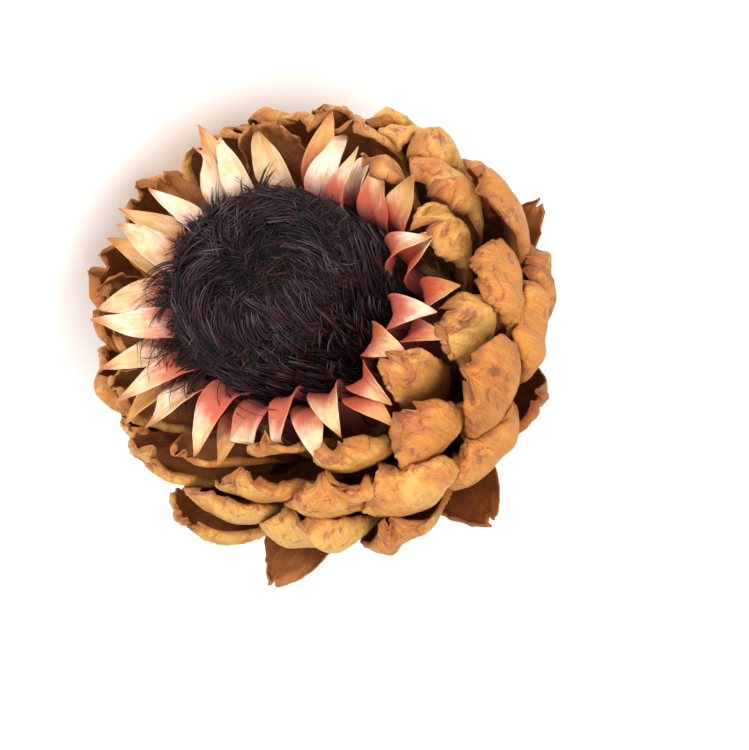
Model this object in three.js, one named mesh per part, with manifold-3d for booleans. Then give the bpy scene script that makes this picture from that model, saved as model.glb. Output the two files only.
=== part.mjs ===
// A dried artichoke flower, cut on a short stem and lying on its side on a table.
// Millimetres, +Z up. The flower faces -Y and its stem runs back along +Y.
// The origin is under the middle of the whole flower.
import * as THREE from "three";
import { mergeVertices } from "three/addons/utils/BufferGeometryUtils.js";
import Module from "manifold-3d";

const wasm = await Module();
wasm.setup();

// Driving dimensions.
// In the flower's own frame z runs along its axis, from the stem joint at 0 to the face, and r out from it.
const STEM_LENGTH = 100;
const STEM_RADIUS = 6.2;
const STEM_NECK_RADIUS = 8.4;
const STEM_RIBS = 8;
const STEM_RIB_DEPTH = 0.55;
const STEM_BEND = 7;
const GAP = 0.3; // clear space between pieces that touch
const SIMPLER = 0.1; // how far a finished surface may move while its slivers are cleared

const INNER_BRACTS = 34;
const OUTER_BRACTS = 54;
const INNER_WHORLS = [13, 13, 8]; // the papery inner bracts, grouped as the whorls they grow in
const GOLDEN_ANGLE = Math.PI * (3 - Math.sqrt(5));
const FIRST_AZIMUTH = -1.5;
const INNER_THICKNESS = 0.6;
const OUTER_THICKNESS = 1.1;

// How it lies: turned about its own axis, then tipped over until it rests on its bracts and its stem's end.
const TURN_DEG = 1.926;
const LEAN_DEG = 21.354;

const SUMMIT_TUFT = 76;
const RECEPTACLE_TOP = 30;

// Outlines as [r, z], from the axis out and back to the axis.
const RECEPTACLE_OUTLINE = [
  [0, 0], [9, 0], [18, 2.6], [27, 8], [32, 16], [33.8, 24], [32.6, 29], [30, RECEPTACLE_TOP],
  [0, RECEPTACLE_TOP - 2],
];
const TUFT_OUTLINE = [
  [0, 29], [25.5, RECEPTACLE_TOP + 1.5], [26.2, 38], [26.4, 50], [26, 58], [25.8, 63.5],
  [24.1, 68.5], [21, 73], [16.5, SUMMIT_TUFT], [10, 73], [0, 68.5],
];

// The family of curves that the midribs follow, from the innermost bract (rank 0) to the outermost (rank 1).
// Each is a cubic Bezier of [r, z] points. A bract between two of them follows a blend, so that the bracts
// lie one outside the other.
const MIDRIBS = [
  { rank: 0.0, points: [[29.8, 30.5], [26.6, 54], [20.0, 68.0], [47.5, 65.0]] },
  { rank: 0.38, points: [[34.2, 23.0], [31.2, 46], [26.5, 64.0], [53.5, 61.5]] },
  { rank: 0.4, points: [[34.8, 22.0], [36.0, 37], [38.0, 56], [52.0, 61.5]] },
  { rank: 0.55, points: [[33.2, 17.0], [44.0, 25], [52.0, 44], [61.5, 59.5]] },
  { rank: 0.68, points: [[30.0, 11.5], [46.5, 17], [60.0, 34], [66.5, 56.5]] },
  { rank: 0.8, points: [[25.0, 6.4], [45.5, 9], [63.0, 21], [67.5, 46.0]] },
  { rank: 0.9, points: [[19.0, 2.8], [40.0, 2], [60.0, 8], [67.5, 31.0]] },
  { rank: 1.0, points: [[12.5, 0.6], [29.0, -4], [47.0, -2], [62.0, 12.0]] },
];
// Blade width and how far margin and tip roll inwards, by rank.
const BLADES = [
  { rank: 0.0, width: 8.6, roll: 0.3, curl: 0.0 },
  { rank: 0.38, width: 10.6, roll: 0.3, curl: 0.0 },
  { rank: 0.4, width: 17, roll: 1.8, curl: 0.8 },
  { rank: 0.52, width: 26, roll: 1.4, curl: 0.9 },
  { rank: 0.7, width: 34, roll: 1.1, curl: 0.9 },
  { rank: 0.85, width: 34, roll: 0.9, curl: 0.7 },
  { rank: 1.0, width: 27, roll: 0.5, curl: 0.1 },
];
// Round the first azimuth the outer bracts close over. Round the second the inner ones are pressed to the
// tuft.
const CLOSED_AZIMUTH = THREE.MathUtils.degToRad(130);
const PRESSED_AZIMUTH = THREE.MathUtils.degToRad(140);
// They crowd the tuft, and the bracts next to it, off the flower's axis.
const CROWDED_BY = 5.6;
const CROWDED_AZIMUTH = THREE.MathUtils.degToRad(310);
// The outermost bracts bend outwards on the side that faces up, where nothing presses on them.
const FLARE = 0.6;
const FLARE_AZIMUTH = Math.PI / 2;
const SOLID_ROLL_SHARE = 0.55; // the solids' margins stay more open than the finished blades'

// A repeatable number from 0 to 1 for bract `index`, one for each trait.
function chance(index, trait) {
  const x = Math.sin(index * 12.9898 + trait * 78.233) * 43758.5453;
  return x - Math.floor(x);
}

function smoothstep(x) {
  const t = Math.min(1, Math.max(0, x));
  return t * t * (3 - 2 * t);
}

// The blend, at `rank`, of the two entries of `table` on either side of it.
function blendAt(table, rank, read) {
  const next = Math.max(1, table.findIndex((row) => row.rank >= rank));
  const low = table[next - 1];
  const high = table[next];
  return THREE.MathUtils.lerp(read(low), read(high), (rank - low.rank) / (high.rank - low.rank));
}

// Everything that tells one bract from the next.
function bractTraits(index) {
  const rank = index / (INNER_BRACTS + OUTER_BRACTS - 1);
  const inner = index < INNER_BRACTS;
  const spread = inner ? 0.2 * (chance(index, 14) - 0.5) : 0;
  const azimuth = FIRST_AZIMUTH + index * GOLDEN_ANGLE + 0.09 * (chance(index, 1) - 0.5) + spread;
  const closed = smoothstep(0.5 + 0.6 * Math.cos(azimuth - CLOSED_AZIMUTH));
  const pressed = inner ? 0.4 * smoothstep(0.15 + 0.9 * Math.cos(azimuth - PRESSED_AZIMUTH)) : 0;
  const upper = smoothstep(0.6 + 0.75 * Math.cos(azimuth - FLARE_AZIMUTH));
  const flare = FLARE * upper * smoothstep((rank - 0.8) / 0.16);
  const curl = blendAt(BLADES, rank, (b) => b.curl);
  return {
    rank,
    inner,
    azimuth,
    width: blendAt(BLADES, rank, (b) => b.width) * (0.9 + 0.2 * chance(index, 2)),
    length: 0.95 + 0.1 * chance(index, 3) - (inner ? 0.18 * closed : 0),
    roll: blendAt(BLADES, rank, (b) => b.roll) * (0.6 + 0.8 * chance(index, 4)),
    curl: curl * (0.7 + 0.6 * chance(index, 5)) * (0.6 + 1.1 * closed) - flare + pressed,
    twist: (inner ? 0.4 : 0.24) * (chance(index, 6) - 0.5),
    thickness: inner ? INNER_THICKNESS : OUTER_THICKNESS,
    rows: inner ? 4 : 6,
    columns: inner ? 2 : 4,
  };
}

// The midrib as samples { r, z, angle }, where angle is measured from the axis outwards.
function midribOf(traits) {
  const blended = (k, c) => blendAt(MIDRIBS, traits.rank, (m) => m.points[k][c]);
  const at = [0, 1, 2, 3].map((k) => [0, 1].map((c) => blended(k, c)));
  const bezier = new THREE.CubicBezierCurve(...at.map(([r, z]) => new THREE.Vector2(r, z)));
  const straight = bezier.getLength() * traits.length;
  const onset = traits.inner ? 0.42 : 0.55;
  const steps = 40;
  const samples = [];
  let [r, z] = at[0];
  for (let i = 0; i <= steps; i++) {
    const u = i / steps;
    const along = bezier.getTangentAt(u);
    const angle = Math.atan2(along.x, along.y) - traits.curl * smoothstep((u - onset) / (1 - onset));
    samples.push({ r, z, angle });
    r += (Math.sin(angle) * straight) / steps;
    z += (Math.cos(angle) * straight) / steps;
  }
  return (u) => {
    const x = Math.min(steps - 1e-6, Math.max(0, u * steps));
    const k = Math.floor(x);
    const mix = (name) => THREE.MathUtils.lerp(samples[k][name], samples[k + 1][name], x - k);
    return { r: mix("r"), z: mix("z"), angle: mix("angle") };
  };
}

// Half the blade's width, as a share of its widest, at u from base to tip.
function outlineShare(u, { inner, rank }) {
  const pointed = inner || rank > 0.86;
  const widest = inner ? 0.7 : 0.64;
  const base = inner ? 0.62 : 0.42;
  const tip = pointed ? 0.1 : 0.3;
  if (u < widest) return base + (1 - base) * Math.sin((Math.PI / 2) * (u / widest));
  const x = (u - widest) / (1 - widest);
  return tip + (1 - tip) * (pointed ? 1 - x ** 1.35 : Math.sqrt(1 - x ** 2.6));
}

// Moves a point aside with the crowded tuft: wholly at rank 0 above the bracts' feet, and less outside it.
function crowded(point, rank) {
  const share = (1 - smoothstep(rank / 0.95)) * smoothstep((point.z - 36) / 26);
  point.x += CROWDED_BY * share * Math.cos(CROWDED_AZIMUTH);
  point.y += CROWDED_BY * share * Math.sin(CROWDED_AZIMUTH);
  return point;
}

// A bract's middle surface as rows of points; `spare` widens and lengthens it all round.
function bractSurface(traits, spare) {
  const midrib = midribOf(traits);
  const radial = new THREE.Vector3(Math.cos(traits.azimuth), Math.sin(traits.azimuth), 0);
  const sideways = new THREE.Vector3(-radial.y, radial.x, 0);
  const axial = new THREE.Vector3(0, 0, 1);
  const rows = [];
  for (let i = 0; i <= traits.rows; i++) {
    const u = i / traits.rows;
    const { r, z, angle } = midrib(u);
    const along = radial.clone().multiplyScalar(Math.sin(angle)).addScaledVector(axial, Math.cos(angle));
    const turned = traits.twist * u;
    const inward = radial.clone().multiplyScalar(-Math.cos(angle)).addScaledVector(axial, Math.sin(angle));
    const across = sideways.clone().applyAxisAngle(along, turned);
    const facing = inward.applyAxisAngle(along, turned);
    const half = (outlineShare(u, traits) * traits.width) / 2 + spare;
    const cupped = traits.inner ? 0 : smoothstep((u - 0.2) / 0.6);
    const cup = THREE.MathUtils.lerp(1 / 34, 1 / 18, cupped);
    const roll = traits.roll * SOLID_ROLL_SHARE * smoothstep((u - 0.35) / 0.45);
    const centre = radial.clone().multiplyScalar(r).addScaledVector(axial, z);
    if (i === traits.rows) centre.addScaledVector(along, spare);
    const row = [];
    const perSide = traits.columns / 2;
    for (const side of [-1, 1]) {
      let x = 0;
      let y = 0;
      const steps = perSide * 6;
      const points = [];
      for (let j = 1; j <= steps; j++) {
        const v = (j - 0.5) / steps;
        const turn = cup * v * half + roll * smoothstep((v - 0.55) / 0.45);
        x += (Math.cos(turn) * half) / steps;
        y += (Math.sin(turn) * half) / steps;
        if (j % 6 !== 0) continue;
        points.push(centre.clone().addScaledVector(across, side * x).addScaledVector(facing, y));
      }
      if (side < 0) row.push(...points.reverse(), centre.clone());
      else row.push(...points);
    }
    rows.push(row.map((point) => crowded(point, traits.rank)));
  }
  return rows;
}

// A closed blade: the middle surface thickened to both sides and joined round its edge.
function bladeGeometry(rows, thickness) {
  const height = rows.length;
  const width = rows[0].length;
  const at = (i, j) => rows[Math.min(height - 1, Math.max(0, i))][Math.min(width - 1, Math.max(0, j))];
  const positions = [];
  for (const side of [0.5, -0.5]) {
    for (let i = 0; i < height; i++) {
      for (let j = 0; j < width; j++) {
        const up = at(i + 1, j).clone().sub(at(i - 1, j));
        const across = at(i, j + 1).clone().sub(at(i, j - 1));
        const normal = across.cross(up).normalize();
        positions.push(...at(i, j).clone().addScaledVector(normal, side * thickness).toArray());
      }
    }
  }
  const faces = [];
  const other = height * width;
  for (let i = 0; i + 1 < height; i++) {
    for (let j = 0; j + 1 < width; j++) {
      const [a, b, c, d] = [i * width + j, i * width + j + 1, (i + 1) * width + j + 1, (i + 1) * width + j];
      faces.push(a, b, c, a, c, d, other + a, other + c, other + b, other + a, other + d, other + c);
    }
  }
  const edge = [];
  for (let j = 0; j < width; j++) edge.push(j);
  for (let i = 1; i < height; i++) edge.push(i * width + width - 1);
  for (let j = width - 2; j >= 0; j--) edge.push((height - 1) * width + j);
  for (let i = height - 2; i > 0; i--) edge.push(i * width);
  edge.forEach((a, k) => {
    const b = edge[(k + 1) % edge.length];
    faces.push(a, other + a, other + b, a, other + b, b);
  });
  const geometry = new THREE.BufferGeometry();
  geometry.setAttribute("position", new THREE.Float32BufferAttribute(positions, 3));
  geometry.setIndex(faces);
  return geometry;
}

function toSolid(geometry) {
  const bare = geometry.clone();
  bare.deleteAttribute("normal");
  bare.deleteAttribute("uv");
  const merged = mergeVertices(bare, 1e-4);
  return new wasm.Manifold(
    new wasm.Mesh({
      numProp: 3,
      vertProperties: new Float32Array(merged.attributes.position.array),
      triVerts: new Uint32Array(merged.index.array),
    }),
  );
}

function toGeometry(solid) {
  const made = solid.simplify(SIMPLER).getMesh();
  const geometry = new THREE.BufferGeometry();
  geometry.setAttribute("position", new THREE.BufferAttribute(made.vertProperties, 3));
  geometry.setIndex(new THREE.BufferAttribute(made.triVerts, 1));
  geometry.computeVertexNormals();
  return geometry;
}

function largestPiece(solid) {
  return solid.decompose().reduce((best, piece) => (piece.volume() > best.volume() ? piece : best));
}

// A turned solid about the flower's axis, from [r, z] points.
function turned(outline, segments) {
  const profile = outline.map(([r, z]) => new THREE.Vector2(r, z));
  return new THREE.LatheGeometry(profile, segments).rotateX(Math.PI / 2);
}

// The tuft as a turned solid, moved aside where the bracts crowd it.
function tuftGeometry(outline) {
  const geometry = turned(outline, 24);
  const positions = geometry.attributes.position;
  const point = new THREE.Vector3();
  for (let i = 0; i < positions.count; i++) {
    positions.setXYZ(i, ...crowded(point.fromBufferAttribute(positions, i), 0).toArray());
  }
  return geometry;
}

// The stem, ribbed, bending gently away from the axis and widening into a neck under the receptacle.
function stemGeometry() {
  const section = [];
  const sides = STEM_RIBS * 2;
  for (let k = 0; k < sides; k++) {
    const radius = STEM_RADIUS - (k % 2) * STEM_RIB_DEPTH;
    const angle = (2 * Math.PI * k) / sides;
    section.push([radius * Math.cos(angle), radius * Math.sin(angle)]);
  }
  const steps = 12;
  const positions = [];
  for (let i = 0; i <= steps; i++) {
    const down = i / steps;
    const grow = 1 + (STEM_NECK_RADIUS / STEM_RADIUS - 1) * (1 - smoothstep(down * 5));
    const z = -GAP - down * (STEM_LENGTH - GAP);
    for (const [x, y] of section) positions.push(x * grow, y * grow - STEM_BEND * down * down, z);
  }
  const faces = [];
  for (let i = 0; i < steps; i++) {
    for (let k = 0; k < sides; k++) {
      const [a, b] = [i * sides + k, i * sides + ((k + 1) % sides)];
      faces.push(a, b + sides, b, a, a + sides, b + sides);
    }
  }
  for (let k = 1; k + 1 < sides; k++) {
    faces.push(0, k, k + 1);
    faces.push(steps * sides, steps * sides + k + 1, steps * sides + k);
  }
  const geometry = new THREE.BufferGeometry();
  geometry.setAttribute("position", new THREE.Float32BufferAttribute(positions, 3));
  geometry.setIndex(faces);
  return geometry;
}

function dried(colour, roughness) {
  return new THREE.MeshStandardMaterial({ color: colour, roughness, metalness: 0 });
}

const materials = {
  stem: dried(0x8a6a42, 0.9),
  receptacle: dried(0x9c7b4c, 0.9),
  tuft: dried(0x2a2026, 0.6),
  inner: dried(0xe6c795, 0.7),
  outer: dried(0xc98d4f, 0.65),
};

// The whole flower in its own frame.
function flower() {
  const head = new THREE.Group();
  const add = (name, geometry, material) => {
    const mesh = new THREE.Mesh(geometry, material);
    mesh.name = name;
    head.add(mesh);
  };

  const receptacle = toSolid(turned(RECEPTACLE_OUTLINE, 28));
  const tuft = toSolid(tuftGeometry(TUFT_OUTLINE));
  const widened = (outline, by) => outline.map(([r, z], i) => {
    const first = i === 0 || i === outline.length - 1;
    return [first ? 0 : r + by, i < outline.length / 2 ? z - by : z + by];
  });
  const around = toSolid(turned(widened(RECEPTACLE_OUTLINE, GAP), 28));
  const core = around.add(toSolid(tuftGeometry(widened(TUFT_OUTLINE, GAP))));

  add("stem", stemGeometry(), materials.stem);
  add("receptacle", toGeometry(receptacle), materials.receptacle);
  add("floret_tuft", toGeometry(tuft), materials.tuft);

  // The outermost bract is placed whole, and each one inside it gives way to those already placed.
  const placed = [{ box: null, solid: core }];
  const below = (a, b) => a.min.every((low, k) => low <= b.max[k]);
  const touches = (a, b) => a === null || (below(a, b) && below(b, a));
  const fitted = (solid) => {
    const box = solid.boundingBox();
    let left = solid;
    for (const other of placed) if (touches(other.box, box)) left = left.subtract(other.solid);
    return largestPiece(left);
  };
  const reserve = (solid) => placed.push({ box: solid.boundingBox(), solid });

  for (let n = OUTER_BRACTS; n >= 1; n--) {
    const traits = bractTraits(INNER_BRACTS + n - 1);
    const solid = toSolid(bladeGeometry(bractSurface(traits, 0), traits.thickness));
    add(`outer_bract_${String(n).padStart(2, "0")}`, toGeometry(fitted(solid)), materials.outer);
    reserve(solid.add(toSolid(bladeGeometry(bractSurface(traits, GAP), traits.thickness + 2 * GAP))));
  }

  let last = INNER_BRACTS;
  for (let whorl = INNER_WHORLS.length; whorl >= 1; whorl--) {
    const count = INNER_WHORLS[whorl - 1];
    let joined = null;
    let room = null;
    let foot = 0;
    for (let index = last - count; index < last; index++) {
      const traits = bractTraits(index);
      const blade = toSolid(bladeGeometry(bractSurface(traits, 0), traits.thickness));
      const swollen = bladeGeometry(bractSurface(traits, GAP), traits.thickness + 2 * GAP);
      const space = blade.add(toSolid(swollen));
      joined = joined ? joined.add(blade) : blade;
      room = room ? room.add(space) : space;
      foot += midribOf(traits)(0.16).r / count;
    }
    // The whorl's bases have grown together into a low collar round the receptacle's rim.
    const low = RECEPTACLE_TOP + 0.5;
    const high = RECEPTACLE_TOP + 6;
    const collar = (out) => toSolid(turned([
      [foot - 0.3 - out, low - out],
      [foot + 0.3 + out, low - out],
      [foot + 0.6 + out, high + out],
      [foot - out, high + out],
      [foot - 0.3 - out, low - out],
    ], 36));
    add(`inner_bract_whorl_${whorl}`, toGeometry(fitted(joined.add(collar(0)))), materials.inner);
    reserve(room.add(collar(GAP)));
    last -= count;
  }
  return head;
}

const artichoke_flower = new THREE.Group();
const head = flower();
head.rotation.set(THREE.MathUtils.degToRad(90 - LEAN_DEG), 0, THREE.MathUtils.degToRad(TURN_DEG));
artichoke_flower.add(head);
const extent = new THREE.Box3().setFromObject(artichoke_flower, true);
head.position.set(-(extent.min.x + extent.max.x) / 2, -(extent.min.y + extent.max.y) / 2, -extent.min.z);

export default artichoke_flower;
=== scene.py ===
"""A dried artichoke flower, cut on a short stem and lying on its side.

The flower's own frame is in millimetres: z runs along its axis, from the stem joint at 0 to its face, and the
bracts' azimuths turn about it. `Pose` lays that frame down on the table, in metres.
"""

from __future__ import annotations

import logging
import math
from dataclasses import dataclass, field, replace
from enum import Enum, IntEnum
from typing import Any, Iterable, Sequence

import bpy
import numpy as np
from mathutils import Matrix, Vector, noise
from mathutils.bvhtree import BVHTree

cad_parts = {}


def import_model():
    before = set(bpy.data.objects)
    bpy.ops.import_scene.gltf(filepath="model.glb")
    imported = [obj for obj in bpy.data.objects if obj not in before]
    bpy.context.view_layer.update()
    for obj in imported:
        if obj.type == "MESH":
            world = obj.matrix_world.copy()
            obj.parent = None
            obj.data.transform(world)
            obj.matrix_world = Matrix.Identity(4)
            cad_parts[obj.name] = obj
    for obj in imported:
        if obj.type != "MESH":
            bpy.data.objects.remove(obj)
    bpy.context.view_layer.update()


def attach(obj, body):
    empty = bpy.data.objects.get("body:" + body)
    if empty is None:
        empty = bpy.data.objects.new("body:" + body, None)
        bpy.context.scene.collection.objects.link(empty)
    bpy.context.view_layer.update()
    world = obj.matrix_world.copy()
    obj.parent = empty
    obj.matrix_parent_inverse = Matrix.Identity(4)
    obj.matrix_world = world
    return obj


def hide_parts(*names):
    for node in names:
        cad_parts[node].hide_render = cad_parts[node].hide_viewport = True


LOG = logging.getLogger("artichoke_flower")
MM = 0.001
NOISE_RANGE = (0.28, 0.72)
FLOOR_CLEARANCE = 0.00005
Array = np.ndarray
Faces = list[tuple[int, ...]]
Body = tuple[BVHTree, Array]


class Slot(Enum):
    """The record's material slots."""

    OUTER_BRACT = "outer_bract"
    INNER_BRACT = "inner_bract"
    FLORET_TUFT = "floret_tuft"
    STEM = "stem"
    RECEPTACLE = "receptacle"


class Trait(IntEnum):
    """What a bract's repeatable chances are drawn for."""

    AZIMUTH = 1
    WIDTH = 2
    LENGTH = 3
    ROLL = 4
    CURL = 5
    TWIST = 6
    SIDE = 7
    NOTCH = 8
    TINT = 9
    BLUSH = 10
    AGE = 11
    FOLD = 12
    LOBES = 13
    SCATTER = 14
    SWAY = 15
    CREASE = 16
    PHASE = 40


class Phase(IntEnum):
    """What a bract's ripples shape, as steps between their seeds."""

    ONSET = 0
    MARGIN = 100
    TIP = 200
    CURL = 300
    ROLL_START = 400
    ROLL = 500


# ---------------------------------------------------------------------------------------- numbers and curves


def chance(index: int, trait: int) -> float:
    """A repeatable number from 0 to 1.

    Args:
        index: The piece that it is for.
        trait: Which of the piece's traits it is for.

    Returns:
        The number.
    """
    x = math.sin(index * 12.9898 + trait * 78.233) * 43758.5453
    return x - math.floor(x)


def smoothstep(x: Any) -> Any:
    """Rises from 0 to 1, with level ends, as x goes from 0 to 1."""
    t = np.clip(x, 0.0, 1.0)
    return t * t * (3 - 2 * t)


def ripple(x: Any, seed: int, waves: Sequence[tuple[float, float]]) -> Any:
    """A sum of sine waves whose phases belong to one seed.

    Args:
        x: Where to read it.
        seed: Sets the phases.
        waves: (frequency, height) of each wave.

    Returns:
        The sum, in the shape of x.
    """
    total = 0.0
    for k, (frequency, height) in enumerate(waves):
        total = total + height * np.sin(2 * math.pi * (frequency * x + chance(seed, Trait.PHASE + k)))
    return total


def colour(code: str) -> tuple[float, float, float, float]:
    """Turns a display colour into the linear one that shaders use.

    Args:
        code: The display colour in hexadecimal, such as "#dfbc8a".

    Returns:
        The linear red, green, blue and opacity.
    """
    channels = [int(code[k : k + 2], 16) / 255 for k in (1, 3, 5)]
    linear = [c / 12.92 if c <= 0.04045 else ((c + 0.055) / 1.055) ** 2.4 for c in channels]
    return (linear[0], linear[1], linear[2], 1.0)


def catmull_rom(points: Array, count: int) -> Array:
    """Resamples along the first axis on a smooth curve through the points.

    Args:
        points: The points, evenly spaced along the first axis.
        count: How many samples to return.

    Returns:
        The samples, with the first axis `count` long.
    """
    last = len(points) - 1
    padded = np.concatenate([2 * points[:1] - points[1:2], points, 2 * points[-1:] - points[-2:-1]])
    at = np.linspace(0, last, count)
    k = np.minimum(at.astype(int), last - 1)
    t = (at - k).reshape((-1,) + (1,) * (points.ndim - 1))
    a, b, c, d = (padded[k + i] for i in range(4))
    square, cube = 2 * a - 5 * b + 4 * c - d, 3 * b - 3 * c + d - a
    return 0.5 * (2 * b + (c - a) * t + square * t**2 + cube * t**3)


def grid_normals(grid: Array) -> Array:
    """The unit normals of a grid of points.

    Args:
        grid: Points in rows and columns.

    Returns:
        For each point, the direction of its row crossed with that of its column.
    """
    along = np.gradient(grid, axis=0)
    across = np.gradient(grid, axis=1)
    normals = np.cross(across, along)
    return normals / np.maximum(np.linalg.norm(normals, axis=2, keepdims=True), 1e-9)


def tube_faces(rings: int, sides: int, downward: bool = False) -> Faces:
    """The quads of a tube whose points come ring by ring.

    Args:
        rings: How many rings it has.
        sides: How many points each ring has.
        downward: Whether the rings run down the tube instead of up it.

    Returns:
        The quads, facing outwards.
    """
    faces = []
    for k in range(rings - 1):
        for j in range(sides):
            here, after = k * sides + j, k * sides + (j + 1) % sides
            ahead, across = here + sides, after + sides
            faces.append((here, ahead, across, after) if downward else (here, after, across, ahead))
    return faces


# -------------------------------------------------------------------------------------------- shader helpers


class Wire:
    """A socket's value, with arithmetic that adds Math nodes."""

    def __init__(self, graph: Graph, socket: bpy.types.NodeSocket | None) -> None:
        """Wraps one output socket of a graph."""
        self.graph = graph
        self.socket = socket

    def _math(self, operation: str, *values: Any) -> Wire:
        """One Math node on the given values."""
        sockets = dict(enumerate(values))
        return self.graph.node("ShaderNodeMath", {"operation": operation}, sockets)

    def __add__(self, other: Any) -> Wire:
        """self + other."""
        return self._math("ADD", self, other)

    __radd__ = __add__

    def __sub__(self, other: Any) -> Wire:
        """self - other."""
        return self._math("SUBTRACT", self, other)

    def __rsub__(self, other: Any) -> Wire:
        """other - self."""
        return self._math("SUBTRACT", other, self)

    def __mul__(self, other: Any) -> Wire:
        """self * other."""
        return self._math("MULTIPLY", self, other)

    __rmul__ = __mul__

    def rise(self, low: float, high: float) -> Wire:
        """Smoothly 0 at low and 1 at high.

        Args:
            low: The value that gives 0.
            high: The value that gives 1.

        Returns:
            The mask.
        """
        settings = {"interpolation_type": "SMOOTHSTEP"}
        sockets = {0: self, 1: low, 2: high, 3: 0.0, 4: 1.0}
        return self.graph.node("ShaderNodeMapRange", settings, sockets)


class Graph:
    """One material and its nodes."""

    def __init__(self, name: str) -> None:
        """Starts a material with no nodes."""
        self.material = bpy.data.materials.new(name)
        self.material.use_nodes = True
        self.tree = self.material.node_tree
        self.tree.nodes.clear()

    def node(
        self,
        kind: str,
        settings: dict[str, Any],
        sockets: dict[Any, Any],
        output: int | str = 0,
    ) -> Wire:
        """Adds one node.

        Args:
            kind: The node's type.
            settings: Its properties.
            sockets: Values or wires for its inputs, by name or place.
            output: Which output to return.

        Returns:
            That output, or a wire with no socket for a node without outputs.
        """
        made = self.tree.nodes.new(kind)
        for name, value in settings.items():
            setattr(made, name, value)
        for key, value in sockets.items():
            socket = made.inputs[key] if isinstance(key, int) else self._named(made.inputs, key)
            if isinstance(value, Wire):
                self.tree.links.new(value.socket, socket)
            else:
                socket.default_value = value
        if not made.outputs:
            return Wire(self, None)
        found = made.outputs[output] if isinstance(output, int) else self._named(made.outputs, output)
        return Wire(self, found)

    @staticmethod
    def _named(sockets: Any, name: str) -> bpy.types.NodeSocket:
        """The socket in use that has that name."""
        return next(s for s in sockets if s.name == name and s.enabled)

    def mix(self, first: Any, second: Any, share: Any) -> Wire:
        """A colour between two.

        Args:
            first: The colour where share is 0.
            second: The colour where share is 1.
            share: A number or a wire.

        Returns:
            The colour.
        """
        settings = {"data_type": "RGBA", "clamp_factor": True}
        return self.node("ShaderNodeMix", settings, {"Factor": share, "A": first, "B": second}, "Result")

    def shade(self, base: Wire, value: Wire) -> Wire:
        """Darkens a colour.

        Args:
            base: The colour.
            value: What each of its channels is multiplied by.

        Returns:
            The darker colour.
        """
        settings = {"data_type": "RGBA", "blend_type": "MULTIPLY", "clamp_factor": True}
        grey = self.node("ShaderNodeCombineColor", {}, {0: value, 1: value, 2: value})
        return self.node("ShaderNodeMix", settings, {"Factor": 1.0, "A": base, "B": grey}, "Result")

    def read(self, name: str, vector: bool = False) -> Wire:
        """A mesh attribute, as a number or as a vector."""
        output = "Vector" if vector else "Fac"
        return self.node("ShaderNodeAttribute", {"attribute_name": name}, {}, output)

    def stretch(self, vector: Wire, scale: tuple[float, float, float]) -> Wire:
        """A vector with each of its parts scaled."""
        return self.node("ShaderNodeVectorMath", {"operation": "MULTIPLY"}, {0: vector, 1: scale})

    def noise(
        self,
        vector: Wire,
        scale: float,
        detail: float = 4.0,
        rough: float = 0.55,
        swirl: float = 0.0,
    ) -> Wire:
        """Smooth noise from 0 to 1.

        Args:
            vector: Where to read it.
            scale: How fine it is.
            detail: How many finer layers it has.
            rough: How strong the finer layers are.
            swirl: How much it is distorted.

        Returns:
            The noise.
        """
        sockets = {"Vector": vector, "Scale": scale, "Detail": detail}
        sockets |= {"Roughness": rough, "Distortion": swirl}
        return self.node("ShaderNodeTexNoise", {}, sockets).rise(*NOISE_RANGE)

    def bump(self, height: Wire, strength: float, distance: float) -> Wire:
        """A normal raised by a height."""
        sockets = {"Strength": strength, "Distance": distance, "Height": height}
        return self.node("ShaderNodeBump", {}, sockets)

    def surface(self, sockets: dict[str, Any]) -> bpy.types.Material:
        """Ends the graph in one principled shader.

        Args:
            sockets: Values or wires for the shader's inputs.

        Returns:
            The material.
        """
        shader = self.node("ShaderNodeBsdfPrincipled", {}, sockets)
        self.node("ShaderNodeOutputMaterial", {}, {"Surface": shader})
        return self.material


# -------------------------------------------------------------------------------------------------- finishes


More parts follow.
